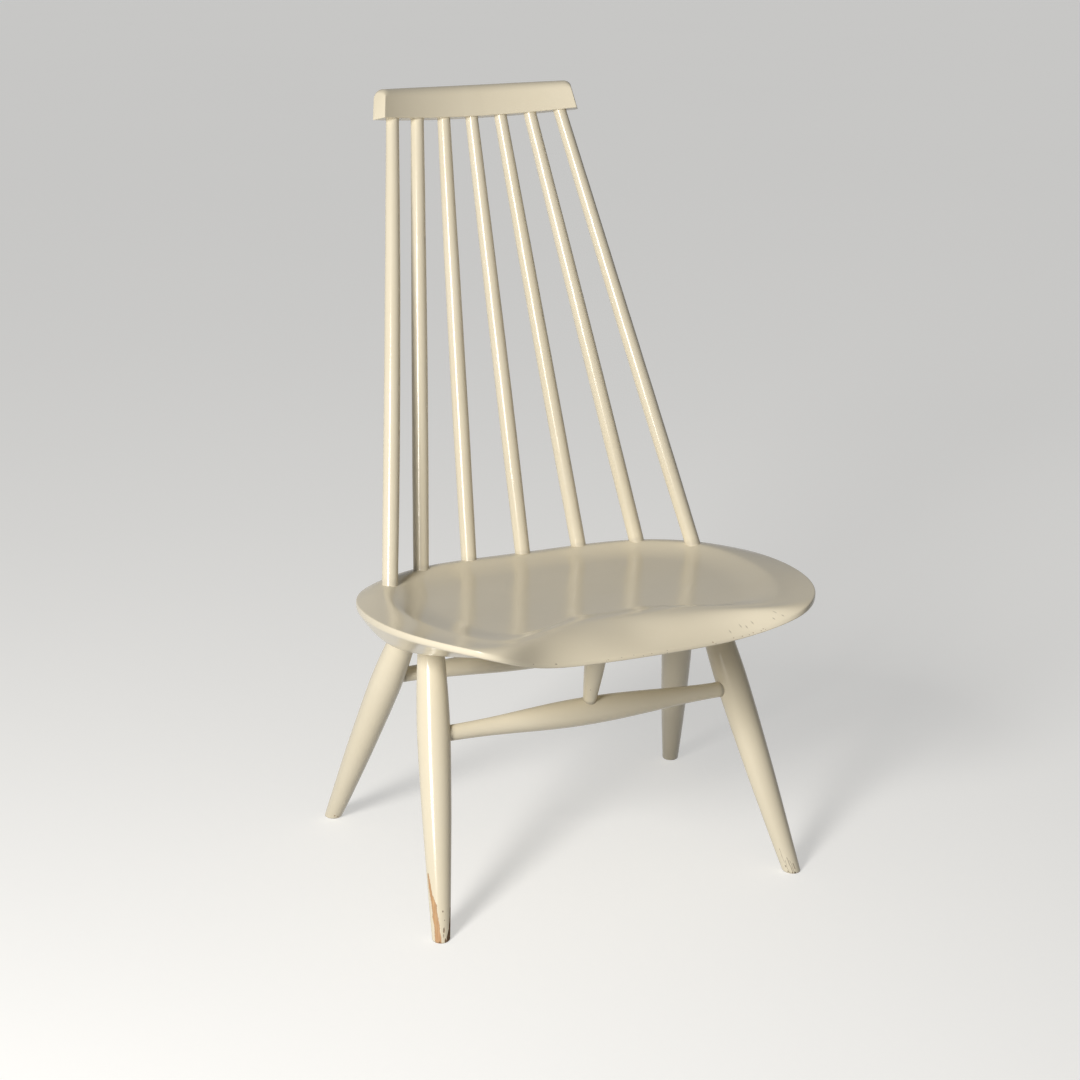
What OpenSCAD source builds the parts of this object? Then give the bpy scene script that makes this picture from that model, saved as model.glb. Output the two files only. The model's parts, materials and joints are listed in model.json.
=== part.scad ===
// Low spindle back chair: a dished wooden seat on four splayed turned legs, braced by two stretchers
// and a short strut, with a fanned back of seven spindles under a curved crest rail.
// Millimetres, +Z up. The chair faces -Y, X runs across it, and the plane X = 0 is its mirror plane.

/* [Seat] */
// Width of the seat across its widest line
seat_w = 530; // [440:5:640]
// Depth of the seat from its front corners to its back edge
seat_d = 416; // [346:5:500]
// Distance from the reference line, midway between the leg heads, to the seat's back edge
seat_back_reach = 146; // [122:1:175]
// Height of the seat's top edge at the reference line
seat_h = 354; // [296:1:425]
// Slope of the seat, higher at the front, in degrees
seat_tilt = 5.8; // [4:0.2:8]
// How much lower the front edge lies in the middle, where the top rolls down to it
front_dip = 41; // [33:1:46]
// How much lower the crest of that roll lies in the middle
lip_sag = 10; // [8:0.5:12]
// Half width of the rolled front
dip_reach = 176; // [146:2:212]
// Upright edge band at the sides and the back
edge_band = 8; // [6:0.5:10]
// Upright edge band in the middle of the front
front_band = 4; // [3:0.5:6]
// Width of the rim between the edge and the arris of the hollow
rim_w = 38; // [32:1:46]
// Width of the rolled front, from its crest to the front edge
roll_w = 68; // [56:1:82]
// Width of the wall that leads from the arris down to the floor
wall_w = 52; // [43:1:62]
// How far the arris stands above the edge beside the hollow
rim_rise = 3.1; // [2:0.1:6]
// Slope of the arris beside the hollow, in degrees
side_slope = 5.1; // [4:0.1:6]
// Slope of the arris along the back, in degrees
back_slope = 1.4; // [1:0.1:2.5]
// Sag of the arris in the middle of the back
back_sag = 8.5; // [5:0.5:9]
// Half width of that sag
sag_reach = 125; // [104:1:150]
// Depth of the hollow's floor below the seat's edge at the reference line
floor_drop = 8.6; // [7.2:0.1:10.4]
// Slope of the hollow's floor, higher at the front, in degrees
floor_slope = 4.4; // [3.6:0.1:5.3]
// Thickness of the seat from its top edge to its underside at the reference line
seat_t = 47.5; // [45:0.5:57]
// Distance from the sides to the flat part of the underside
under_side_inset = 35; // [29:1:42]
// Distance from the front edge to the flat part of the underside
under_front_inset = 108; // [90:1:120]
// Distance from the back edge to the flat part of the underside
under_back_inset = 68; // [57:1:80]

/* [Legs] */
// Distance between the heads of the front legs
front_head_spread = 363; // [303:1:400]
// Distance between the heads of the back legs
back_head_spread = 366; // [305:1:400]
// Distance between the feet of the front legs
front_foot_spread = 458; // [382:1:550]
// Distance between the feet of the back legs
back_foot_spread = 487; // [406:1:584]
// Front to back distance between the leg heads
head_stance = 77; // [66:1:92]
// Front to back distance between the feet
foot_stance = 376; // [314:1:451]
// Diameter of a leg's foot
leg_foot_d = 21; // [17.5:0.1:26]
// Greatest diameter of a leg
leg_max_d = 39.5; // [33:0.1:47]
// Diameter of a leg's head, which fills its socket in the seat
leg_head_d = 31; // [26:0.1:37]
// Height above the floor, along the leg, of its greatest diameter
leg_swell_at = 245; // [205:1:294]
// Depth of the leg sockets in the seat
leg_socket = 26; // [21:0.5:30]

/* [Stretchers and strut] */
// Height of the front stretcher's axis
front_stretcher_h = 210; // [175:1:235]
// Height of the rear stretcher's axis
rear_stretcher_h = 226; // [188:1:250]
// Diameter in the middle of a stretcher
stretcher_mid_d = 33.8; // [28:0.1:40]
// Diameter at the ends of a stretcher
stretcher_end_d = 19; // [16:0.1:23]
// Distance from a stretcher's end to the axis of the leg that holds it
stretcher_stop = 2; // [1:0.5:6]
// Forward lean of the strut, in degrees
strut_lean = 17; // [0:0.5:20]
// Diameter of the strut's foot in the front stretcher
strut_foot_d = 16; // [13:0.1:19]
// Greatest diameter of the strut
strut_max_d = 26; // [22:0.1:31]
// Diameter of the strut's head in the seat
strut_head_d = 23; // [19:0.1:28]
// Distance from the strut's end to the axis of the front stretcher
strut_stop = 2.5; // [1:0.5:6]
// Depth of the strut's socket in the seat
strut_socket = 12; // [10:0.5:15]

/* [Spindles] */
// Number of spindles
spindle_count = 7; // [3:2:9]
// Distance along the seat's back between neighbouring spindles
spindle_step = 75; // [62:0.5:80]
// Distance from the seat's edge to the axis of the middle spindle
spindle_inset = 25.5; // [22:0.5:31]
// How much further in than that the row would lie at the seat's widest line
row_ease = 11.4; // [9:0.2:14]
// Diameter of a spindle at the seat
spindle_foot_d = 19.3; // [16:0.1:23]
// Greatest diameter of a spindle
spindle_max_d = 20.2; // [16.8:0.1:24]
// Diameter of a spindle below the crest rail
spindle_neck_d = 16.2; // [14:0.1:19]
// Diameter of the round tenon in the crest rail
spindle_tenon_d = 12; // [10:0.1:13.5]
// Distance from the seat to a spindle's greatest diameter
spindle_swell_at = 150; // [125:1:180]
// Depth of the spindle sockets in the seat
spindle_socket = 22; // [18:0.5:24]
// Depth of the spindle sockets in the crest rail
crest_socket = 22; // [18:0.5:26]

/* [Crest rail] */
// Height of the crest rail's lower edge in the middle
back_h = 878.2; // [732:0.2:1054]
// Distance from the reference line back to the crest rail's middle
back_reach = 280.5; // [234:0.5:336]
// Height of the crest rail's section
crest_h = 40.9; // [34:0.1:49]
// Thickness of the crest rail
crest_t = 21.6; // [18:0.1:26]
// Radius of the crest rail's curve
crest_r = 303; // [252:1:364]
// Half of the angle that the crest rail spans along its lower edge, in degrees
crest_half_angle = 26; // [23:0.1:31]
// Lean of the crest rail, in degrees
crest_lean = 14.8; // [12:0.1:18]
// Slope of the end cuts, wider at the bottom, in degrees
crest_flare = 10.8; // [0:0.2:14]
// How much lower the top edge is at the ends than in the middle
crest_crown = 4.1; // [3.4:0.1:5]
// Distance between neighbouring spindles along the crest rail
crest_step = 38.2; // [32:0.1:42]

/* [Hidden] */

paint = "antiquewhite";
// Radial clearance of every round joint, and the shoulder gap under the crest rail
fit_gap = 0.1;
// Facets of the turned pieces, and the sectors and back points of the seat
turned_fn = 64;
seat_sectors = 72;
back_samples = 120;

// ---- Plan of the seat: a closed cubic B-spline over a symmetric control polygon ----
// Control points of the right half, as [share of the half width, share of the depth from the back]
half_polygon = [[0, 0.963], [0.51, 0.937], [0.745, 1.063], [1.012, 0.719],
                [1.018, 0.224], [0.547, 0.010], [0, -0.006]];
half_count = len(half_polygon);
polygon_mirror = [for (i = [half_count - 2:-1:1]) [-half_polygon[i][0], half_polygon[i][1]]];
control = concat(half_polygon, polygon_mirror);
control_count = len(control);

function control_at(i) = control[(i + control_count) % control_count];
function spline_raw(t) = let (i = floor(t), u = t - i)
    (pow(1 - u, 3) * control_at(i - 1) + (3 * pow(u, 3) - 6 * u * u + 4) * control_at(i)
     + (-3 * pow(u, 3) + 3 * u * u + 3 * u + 1) * control_at(i + 1) + pow(u, 3) * control_at(i + 2)) / 6;
raw_plan = [for (j = [0:seat_sectors - 1]) spline_raw(j * control_count / seat_sectors)];
raw_half = max([for (p = raw_plan) p[0]]);
raw_front = max([for (p = raw_plan) p[1]]);
raw_back = min([for (p = raw_plan) p[1]]);

// The reference line is y = 0 until the whole chair is placed
seat_back_y = seat_back_reach;
seat_front_y = seat_back_y - seat_d;
function to_plan(p) = [p[0] / raw_half * seat_w / 2,
    seat_back_y - (p[1] - raw_back) / (raw_front - raw_back) * seat_d];
function plan(t) = to_plan(spline_raw(t));
spline_nudge = 0.01;
function inward(t) = let (v = plan(t + spline_nudge) - plan(t - spline_nudge)) [-v[1], v[0]] / norm(v);

// ---- Heights of the seat ----
seat_slope = tan(seat_tilt);
function smooth(u) = let (c = max(0, min(1, u))) c * c * (3 - 2 * c);
function bend(u, width) = (u + sqrt(u * u + width * width)) / 2;
dip_power = 4.8;
// Line across the seat where the arris changes its slope and the dip of the front begins
turn_y = -42;
slope_change_w = 40;
// 1 in the middle of the front, 0 at the sides and the back
function front_share(p) = smooth((p[1] - turn_y) / (seat_front_y - turn_y))
    * exp(-pow(abs(p[0]) / dip_reach, dip_power));
// The same along the roll behind that edge, fading out slowly to both sides
lip_reach = 190;
function lip_share(p) = smooth((p[1] - turn_y) / (seat_front_y - turn_y)) * exp(-pow(p[0] / lip_reach, 2));
function edge_z(p) = seat_h - seat_slope * p[1] - front_dip * front_share(p);
function arris_z(p) = let (v = p[1] - turn_y)
    seat_h - seat_slope * turn_y + rim_rise - tan(side_slope) * v
    + (tan(side_slope) - tan(back_slope)) * (bend(v, slope_change_w) - slope_change_w / 2)
    - back_sag * exp(-pow(p[0] / sag_reach, 2)) * smooth(p[1] / seat_back_y) - lip_sag * lip_share(p);
floor_bow = 3;
floor_bow_x = 150;
function floor_z(p) = seat_h - floor_drop - tan(floor_slope) * p[1] + floor_bow * pow(p[0] / floor_bow_x, 2);
under_h = seat_h - seat_t;
function under_z(y) = under_h - seat_slope * y;
// Rounded plan of the flat underside: a superellipse in polar form
under_power = 2.6;
under_half_w = seat_w / 2 - under_side_inset;
under_half_d = (seat_d - under_front_inset - under_back_inset) / 2;
under_centre = [0, seat_front_y + under_front_inset + under_half_d];
function under_reach(a) = pow(pow(abs(cos(a)) / under_half_w, under_power)
    + pow(abs(sin(a)) / under_half_d, under_power), -1 / under_power);

// ---- Sections of the seat, one for each sector, from the middle of the top round to the underside ----
hollow_centre = [0, (seat_front_y + seat_back_y) / 2];
rim_marks = [1, 0.82, 0.6, 0.36, 0.15, 0];
wall_marks = [1, 0.66, 0.4, 0.2, 0.08];
floor_marks = [0.3, 0.6, 0.85];
bevel_marks = [0.25, 0.5, 0.75, 1];
rim_power = 2;
roll_power = 1.6;
wall_power = 2.2;
bevel_power = 1.4;
function mix(a, b, u) = a + (b - a) * u;
// Share of the drop to the floor at a share u of the wall: steep at the sides, easing in at the front
function wall_drop(u, front) = mix(1 - pow(1 - u, wall_power), smooth(u), front);
function lift(p, z) = [p[0], p[1], z];
function sector(t) = let (
        e = plan(t),
        ray = (hollow_centre - e) / norm(hollow_centre - e),
        square = ray * inward(t),
        front = front_share(e),
        lip = lip_share(e),
        rim = mix(rim_w, roll_w, lip) / square,
        wall = wall_w / square,
        a = e + ray * rim,
        f = e + ray * (rim + wall),
        z_e = edge_z(e),
        z_a = arris_z(a),
        band = mix(edge_band, front_band, front),
        swell = mix(rim_power, roll_power, lip),
        out = e - under_centre,
        away = atan2(out[1], out[0]),
        b = under_centre + under_reach(away) * [cos(away), sin(away)])
    concat(
        [for (u = floor_marks) let (p = mix(hollow_centre, f, u)) lift(p, floor_z(p))],
        [for (u = wall_marks) let (p = a + ray * wall * u)
            lift(p, mix(z_a, floor_z(p), wall_drop(u, lip)))],
        [for (u = rim_marks) let (p = e + ray * rim * u) lift(p, mix(z_e, z_a, 1 - pow(1 - u, swell)))],
        [lift(e, z_e - band)],
        [for (v = bevel_marks) let (p = mix(e, b, v))
            lift(p, mix(z_e - band, under_z(b[1]), 1 - pow(1 - v, bevel_power)))]);

module seat_blank() {
    rings = [for (j = [0:seat_sectors - 1]) sector(j * control_count / seat_sectors)];
    ring_count = len(rings[0]);
    top = lift(hollow_centre, floor_z(hollow_centre));
    bottom = lift(under_centre, under_z(under_centre[1]));
    points = concat([top], [for (r = rings) for (p = r) p], [bottom]);
    last = len(points) - 1;
    function at(j, k) = 1 + (j % seat_sectors) * ring_count + k;
    faces = [for (j = [0:seat_sectors - 1]) each concat(
        [[0, at(j + 1, 0), at(j, 0)]],
        [for (k = [0:ring_count - 2]) each [[at(j, k), at(j + 1, k), at(j + 1, k + 1)],
                                            [at(j, k), at(j + 1, k + 1), at(j, k + 1)]]],
        [[at(j, ring_count - 1), at(j + 1, ring_count - 1), last]])];
    polyhedron(points = points, faces = faces, convexity = 6);
}

// ---- Lines of the turned pieces, as [lower point, upper point] ----
function line_length(line) = norm(line[1] - line[0]);
// The feet stand slightly forward of the heads' middle
foot_shift = -1;
function leg_line(head_spread, foot_spread, way) = [
    [foot_spread / 2, way * foot_stance / 2 + foot_shift, 0],
    [head_spread / 2, way * head_stance / 2, under_z(way * head_stance / 2)]];
front_leg_line = leg_line(front_head_spread, front_foot_spread, -1);
back_leg_line = leg_line(back_head_spread, back_foot_spread, 1);
function at_height(line, z) = mix(line[0], line[1], (z - line[0][2]) / (line[1][2] - line[0][2]));
front_joint = at_height(front_leg_line, front_stretcher_h);
rear_joint = at_height(back_leg_line, rear_stretcher_h);

strut_dir = [0, -sin(strut_lean), cos(strut_lean)];
strut_origin = [0, front_joint[1], front_stretcher_h];
strut_len = (under_z(front_joint[1]) - front_stretcher_h) / (cos(strut_lean) - seat_slope * sin(strut_lean));
strut_line = [strut_origin, strut_origin + strut_dir * strut_len];

// Feet of the spindles, evenly spaced along the seat's back edge and set in from it
back_middle = half_count - 1;
ease_power = 1.5;
function row_inset(x) = spindle_inset + row_ease * pow(abs(x) / (seat_w / 2), ease_power);
function inset_point(t) = let (p = plan(t)) p + inward(t) * row_inset(p[0]);
// The sampled row runs this many control points along the edge, from the middle of the back
row_span = 3.5;
back_row = [for (i = [0:back_samples]) inset_point(back_middle - row_span * i / back_samples)];
function run_to(i) = i == 0 ? 0 : norm(back_row[i] - back_row[i - 1]) + run_to(i - 1);
back_runs = [for (i = [0:back_samples]) run_to(i)];
back_x = [for (i = [0:back_samples]) [back_runs[i], back_row[i][0]]];
back_y = [for (i = [0:back_samples]) [back_runs[i], back_row[i][1]]];
function row_point(k) = let (s = abs(k) * spindle_step) [sign(k) * lookup(s, back_x), lookup(s, back_y)];
function rim_share(x) = 1 - pow(1 - min(1, row_inset(x) / rim_w), rim_power);
function rim_z(p) = mix(edge_z(p), arris_z(p), rim_share(p[0]));
spindle_mid = (spindle_count + 1) / 2;
function spindle_foot(k) = let (p = row_point(k)) lift(p, rim_z(p));

// Frame of the crest rail: its own origin, its upward direction and its backward direction
crest_origin = [0, back_reach, back_h];
crest_up = [0, sin(crest_lean), cos(crest_lean)];
crest_back = [0, cos(crest_lean), -sin(crest_lean)];
function crest_point(k) = let (a = k * crest_step / crest_r * 180 / PI)
    crest_origin + [crest_r * sin(a), 0, 0] + crest_back * crest_r * (cos(a) - 1);
function spindle_line(k) = [spindle_foot(k), crest_point(k)];

// ---- Middle of the whole chair, front to back, so that it stands over the origin ----
// Width and height of the rounding at the top of the crest rail's back; the front takes the rest
crest_round = [6.5, 11];
front_round_extra = 2.5;
crest_back_y = back_reach + (crest_t / 2 - crest_round[0]) * cos(crest_lean)
    + (crest_h - crest_round[1]) * sin(crest_lean)
    + norm([crest_round[0] * cos(crest_lean), crest_round[1] * sin(crest_lean)]);
middle_y = (seat_front_y + crest_back_y) / 2;

module place() {
    translate([0, -middle_y, 0]) color(paint) children();
}

// Stands its children, drawn along +Z, on the line's lower point, with the seams of round surfaces
// turned to the side of the line's lean
seam_turn = 90;
module along(line) {
    v = line[1] - line[0];
    translate(line[0]) rotate([0, acos(v[2] / norm(v)), atan2(v[1], v[0])]) rotate([0, 0, seam_turn]) children();
}

module turned(profile) {
    first = profile[0];
    last = profile[len(profile) - 1];
    rotate_extrude($fn = turned_fn) polygon(concat([[0, first[1]]], profile, [[0, last[1]]]));
}

// A round hole along a line, from one distance to another
module bore(line, d, from, to) {
    along(line) translate([0, 0, from]) cylinder(d = d + 2 * fit_gap, h = to - from, $fn = turned_fn);
}

// ---- Seat ----
bore_runout = 40;
module seat() {
    place() difference() {
        seat_blank();
        for (line = [front_leg_line, back_leg_line], side = [0, 1])
            mirror([side, 0, 0]) bore(line, leg_head_d, line_length(line) - bore_runout,
                                      line_length(line) + leg_socket + fit_gap);
        for (i = [1:spindle_count])
            bore(spindle_line(i - spindle_mid), spindle_foot_d, -spindle_socket - fit_gap, bore_runout);
        bore(strut_line, strut_head_d, strut_len - bore_runout, strut_len + strut_socket + fit_gap);
    }
}

// ---- Legs ----
leg_steps = 12;
head_steps = 8;
leg_overrun = 14;
leg_power = 1.5;
head_power = 1.7;
// A leg or the strut is down to its socket's diameter this far before it meets the underside
head_lead = 9;
function leg_d(s, neck) = s < leg_swell_at
    ? leg_max_d - (leg_max_d - leg_foot_d) * pow(1 - s / leg_swell_at, leg_power)
    : leg_max_d - (leg_max_d - leg_head_d) * pow((s - leg_swell_at) / (neck - leg_swell_at), head_power);
module leg(line, joint) {
    len = line_length(line);
    neck = len - head_lead;
    foot_step = leg_swell_at / leg_steps;
    foot_slope = (leg_d(foot_step, neck) - leg_foot_d) / foot_step;
    profile = concat([[(leg_foot_d - foot_slope * leg_overrun) / 2, -leg_overrun]],
        [for (i = [1:leg_steps]) let (s = foot_step * i) [leg_d(s, neck) / 2, s]],
        [for (i = [1:head_steps]) let (s = mix(leg_swell_at, neck, i / head_steps)) [leg_d(s, neck) / 2, s]],
        [[leg_head_d / 2, len + leg_socket]]);
    difference() {
        along(line) turned(profile);
        translate([-seat_w, -2 * seat_d, -seat_h]) cube([2 * seat_w, 4 * seat_d, seat_h]);
        translate([joint[0] - stretcher_stop - leg_max_d, joint[1], joint[2]]) rotate([0, 90, 0])
            cylinder(d = stretcher_end_d + 2 * fit_gap, h = leg_max_d + fit_gap, $fn = turned_fn);
    }
}
module front_right_leg() place() leg(front_leg_line, front_joint);
module front_left_leg() place() mirror([1, 0, 0]) leg(front_leg_line, front_joint);
module back_right_leg() place() leg(back_leg_line, rear_joint);
module back_left_leg() place() mirror([1, 0, 0]) leg(back_leg_line, rear_joint);

// ---- Stretchers: cigar shapes that swell in the middle ----
stretcher_steps = 12;
module stretcher(joint) {
    half = joint[0] - stretcher_stop;
    open_half = joint[0] - leg_max_d / 2;
    function d_at(x) = stretcher_end_d + (stretcher_mid_d - stretcher_end_d) * pow(cos(90 * x / open_half), 2);
    right = [for (i = [0:stretcher_steps]) let (x = open_half * i / stretcher_steps) [d_at(x) / 2, x]];
    left = [for (i = [stretcher_steps:-1:1]) [right[i][0], -right[i][1]]];
    profile = concat([[stretcher_end_d / 2, -half]], left, right, [[stretcher_end_d / 2, half]]);
    translate([0, joint[1], joint[2]]) rotate([0, 90, 0]) turned(profile);
}
module front_stretcher() place() difference() {
    stretcher(front_joint);
    bore(strut_line, strut_foot_d, strut_stop - fit_gap, bore_runout);
}
module rear_stretcher() place() stretcher(rear_joint);

// ---- Strut between the front stretcher and the seat ----
strut_swell_share = 0.72;
strut_steps = 12;
module stretcher_strut() {
    low = stretcher_mid_d / 2;
    neck = strut_len - head_lead;
    swell = mix(low, strut_len, strut_swell_share);
    function d_at(s) = s < swell
        ? strut_max_d - (strut_max_d - strut_foot_d) * pow((swell - s) / (swell - low), leg_power)
        : strut_max_d - (strut_max_d - strut_head_d) * pow((s - swell) / (neck - swell), head_power);
    profile = concat([[strut_foot_d / 2, strut_stop]],
        [for (i = [0:strut_steps]) let (s = mix(low, neck, i / strut_steps)) [d_at(s) / 2, s]],
        [[strut_head_d / 2, strut_len + strut_socket]]);
    place() along(strut_line) turned(profile);
}

// ---- Spindles ----
spindle_steps = 16;
neck_power = 1.8;
cut_w = 60;
module spindle(number) {
    line = spindle_line(number - spindle_mid);
    len = line_length(line);
    tenon_root = 5;
    function d_at(s) = s < spindle_swell_at
        ? spindle_max_d - (spindle_max_d - spindle_foot_d) * pow(1 - s / spindle_swell_at, 2)
        : spindle_max_d - (spindle_max_d - spindle_neck_d)
            * pow((s - spindle_swell_at) / (len - spindle_swell_at), neck_power);
    profile = concat([[spindle_foot_d / 2, -spindle_socket]],
        [for (i = [0:spindle_steps]) let (s = len * i / spindle_steps) [d_at(s) / 2, s]],
        [[spindle_neck_d / 2, len + crest_t]]);
    place() union() {
        difference() {
            along(line) turned(profile);
            translate(line[1]) rotate([-crest_lean, 0, 0]) translate([-cut_w / 2, -cut_w / 2, -fit_gap])
                cube([cut_w, cut_w, cut_w]);
        }
        along(line) translate([0, 0, len - tenon_root])
            cylinder(d = spindle_tenon_d, h = tenon_root + crest_socket, $fn = turned_fn);
    }
}
module spindle_1() spindle(1);
module spindle_2() spindle(2);
module spindle_3() spindle(3);
module spindle_4() spindle(4);
module spindle_5() spindle(5);
module spindle_6() spindle(6);
module spindle_7() spindle(7);

// ---- Crest rail: a rounded section swept along an arc, with flared ends ----
arc_fn = 360;
crown_fn = 1440;
round_steps = 6;
module crest_section() {
    front_round = [crest_t - crest_round[0], crest_round[1] + front_round_extra];
    back_x0 = crest_t / 2 - crest_round[0];
    back_arc = [for (i = [0:round_steps]) let (a = 90 * i / round_steps)
        [back_x0 + crest_round[0] * cos(a), crest_h - crest_round[1] + crest_round[1] * sin(a)]];
    front_arc = [for (i = [1:round_steps]) let (a = 90 + 90 * i / round_steps)
        [back_x0 + front_round[0] * cos(a), crest_h - front_round[1] + front_round[1] * sin(a)]];
    translate([crest_r, 0]) polygon(concat([[-crest_t / 2, 0], [crest_t / 2, 0]], back_arc, front_arc));
}
module crest_end_cut(side) {
    translate([0, -crest_r, 0]) rotate([0, 0, -side * crest_half_angle]) translate([0, crest_r, 0])
        rotate([0, -side * crest_flare, 0]) translate([side > 0 ? 0 : -2 * crest_h, -crest_h, -crest_h])
            cube([2 * crest_h, 2 * crest_h, 4 * crest_h]);
}
module crest_rail() {
    spare_angle = 4;
    sweep = crest_half_angle + spare_angle;
    end_x = crest_r * sin(crest_half_angle);
    crown_r = end_x * end_x / (2 * crest_crown);
    place() difference() {
        translate(crest_origin) rotate([-crest_lean, 0, 0]) difference() {
            intersection() {
                translate([0, -crest_r, 0]) rotate([0, 0, 90 - sweep])
                    rotate_extrude(angle = 2 * sweep, $fn = arc_fn) crest_section();
                translate([0, -crest_r / 2, crest_h - crown_r]) rotate([-90, 0, 0])
                    cylinder(r = crown_r, h = crest_r, $fn = crown_fn);
            }
            crest_end_cut(1);
            crest_end_cut(-1);
        }
        for (i = [1:spindle_count]) let (line = spindle_line(i - spindle_mid), len = line_length(line))
            bore(line, spindle_tenon_d, len - bore_runout, len + crest_socket + fit_gap);
    }
}

seat();
front_left_leg();
front_right_leg();
back_left_leg();
back_right_leg();
front_stretcher();
rear_stretcher();
stretcher_strut();
crest_rail();
spindle_1();
spindle_2();
spindle_3();
spindle_4();
spindle_5();
spindle_6();
spindle_7();
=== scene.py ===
# %% [markdown]
# # A low spindle back chair in worn cream paint
# A turned chair is a few simple shapes repeated with care: a dished seat, four legs, two stretchers,
# a strut, seven spindles and a crest rail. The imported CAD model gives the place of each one. This file
# builds a finer mesh over every CAD piece, and then gives it paint, wear and light.

# %% Load the frame
import bpy
import math
import numpy as np
from mathutils import Matrix, Vector
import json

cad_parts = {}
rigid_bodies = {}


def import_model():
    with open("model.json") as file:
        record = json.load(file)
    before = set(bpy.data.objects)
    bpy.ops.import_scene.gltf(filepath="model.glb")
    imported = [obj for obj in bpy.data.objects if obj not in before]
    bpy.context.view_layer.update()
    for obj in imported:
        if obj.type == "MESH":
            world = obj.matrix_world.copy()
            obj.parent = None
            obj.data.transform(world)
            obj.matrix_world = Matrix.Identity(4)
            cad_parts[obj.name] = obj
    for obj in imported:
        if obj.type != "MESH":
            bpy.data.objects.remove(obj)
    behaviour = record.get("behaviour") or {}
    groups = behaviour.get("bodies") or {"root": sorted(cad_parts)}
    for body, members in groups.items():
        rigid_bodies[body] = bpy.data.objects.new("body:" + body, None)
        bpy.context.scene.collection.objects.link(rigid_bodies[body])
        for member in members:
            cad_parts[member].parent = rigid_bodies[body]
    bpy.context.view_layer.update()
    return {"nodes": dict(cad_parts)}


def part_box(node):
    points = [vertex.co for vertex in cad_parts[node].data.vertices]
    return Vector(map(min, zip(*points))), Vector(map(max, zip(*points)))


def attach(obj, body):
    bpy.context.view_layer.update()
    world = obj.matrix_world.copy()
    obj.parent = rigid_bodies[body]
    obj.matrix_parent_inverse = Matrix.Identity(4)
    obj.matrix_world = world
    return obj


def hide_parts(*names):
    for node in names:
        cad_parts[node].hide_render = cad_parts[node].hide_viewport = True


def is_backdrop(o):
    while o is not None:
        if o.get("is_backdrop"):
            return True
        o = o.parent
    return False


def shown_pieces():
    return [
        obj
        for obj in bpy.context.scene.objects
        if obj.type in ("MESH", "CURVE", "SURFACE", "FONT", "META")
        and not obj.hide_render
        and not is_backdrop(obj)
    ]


for thing in list(bpy.data.objects):
    bpy.data.objects.remove(thing)
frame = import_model()
MM = 0.001

# %% [markdown]
# ## Camera
# The camera stands to the left of the front, higher than the crest rail, with a long lens, so the
# lines of the chair hardly converge. Its directions are built from three angles, which keeps it
# editable: turn, tilt and a small roll.

# %% Camera
TURN, TILT, ROLL = 0.3872, 0.3063, -0.0071
CAMERA_PLACE = (-0.9743, -2.3421, 1.1984)
LENS_MM, SENSOR_MM = 72.66, 36
forward = Vector((math.sin(TURN) * math.cos(TILT), math.cos(TURN) * math.cos(TILT), -math.sin(TILT)))
across = Vector((math.cos(TURN), -math.sin(TURN), 0))
up = across.cross(forward)
right = across * math.cos(ROLL) + up * math.sin(ROLL)
top = up * math.cos(ROLL) - across * math.sin(ROLL)
camera_data = bpy.data.cameras.new("camera")
camera_data.lens = LENS_MM
camera_data.sensor_width = SENSOR_MM
camera = bpy.data.objects.new("camera", camera_data)
turn_matrix = Matrix((right, top, -forward)).transposed().to_4x4()
camera.matrix_world = Matrix.Translation(CAMERA_PLACE) @ turn_matrix
bpy.context.scene.collection.objects.link(camera)
bpy.context.scene.camera = camera
print("camera at", [round(v, 2) for v in camera.location])

# %% [markdown]
# ## Light
# One broad soft light from the left models the round pieces: bright on one side, falling off on the
# other. The world does two things. As a light it is dim, so that the shadows stay soft but deep. To
# the eye, in gloss and through glass it is pale, which gives the chair a light background.

# %% Lights and world
bpy.context.scene.view_settings.view_transform = "Standard"

def softbox(name, place, target, size, power, colour):
    data = bpy.data.lights.new(name, "AREA")
    data.shape, data.size, data.size_y = "RECTANGLE", size[0], size[1]
    data.energy, data.color = power, colour
    lamp = bpy.data.objects.new(name, data)
    lamp.location = place
    lamp.rotation_euler = (Vector(target) - Vector(place)).to_track_quat("-Z", "Y").to_euler()
    bpy.context.scene.collection.objects.link(lamp)
    print(name, power, "W")

KEY_PLACE, KEY_TARGET, KEY_SIZE = (-1.95, -1.46, 1.50), (0, 0, 0.42), (0.55, 1.1)
KEY_WATTS, WARM_WHITE = 67, (1, 0.975, 0.93)
softbox("key_light", KEY_PLACE, KEY_TARGET, KEY_SIZE, KEY_WATTS, WARM_WHITE)

DIM_WARM, PALE = (0.10, 0.095, 0.087, 1), (0.45, 0.45, 0.445, 1)
world = bpy.data.worlds.new("studio")
bpy.context.scene.world = world
world.use_nodes = True
nodes, links = world.node_tree.nodes, world.node_tree.links
dim = nodes["Background"]
dim.inputs["Color"].default_value = DIM_WARM
pale = nodes.new("ShaderNodeBackground")
pale.inputs["Color"].default_value = PALE
path = nodes.new("ShaderNodeLightPath")
either = path.outputs["Is Camera Ray"]
for kind in ("Is Glossy Ray", "Is Transmission Ray"):
    larger = nodes.new("ShaderNodeMath")
    larger.operation = "MAXIMUM"
    links.new(either, larger.inputs[0])
    links.new(path.outputs[kind], larger.inputs[1])
    either = larger.outputs[0]
choice = nodes.new("ShaderNodeMixShader")
links.new(either, choice.inputs[0])
links.new(dim.outputs[0], choice.inputs[1])
links.new(pale.outputs[0], choice.inputs[2])
links.new(choice.outputs[0], nodes["World Output"].inputs["Surface"])

# %% [markdown]
# ## Node helpers
# A procedural material is a graph of small steps. These helpers add a step and link it in one line,
# so that each finish below reads like its recipe.

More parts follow.
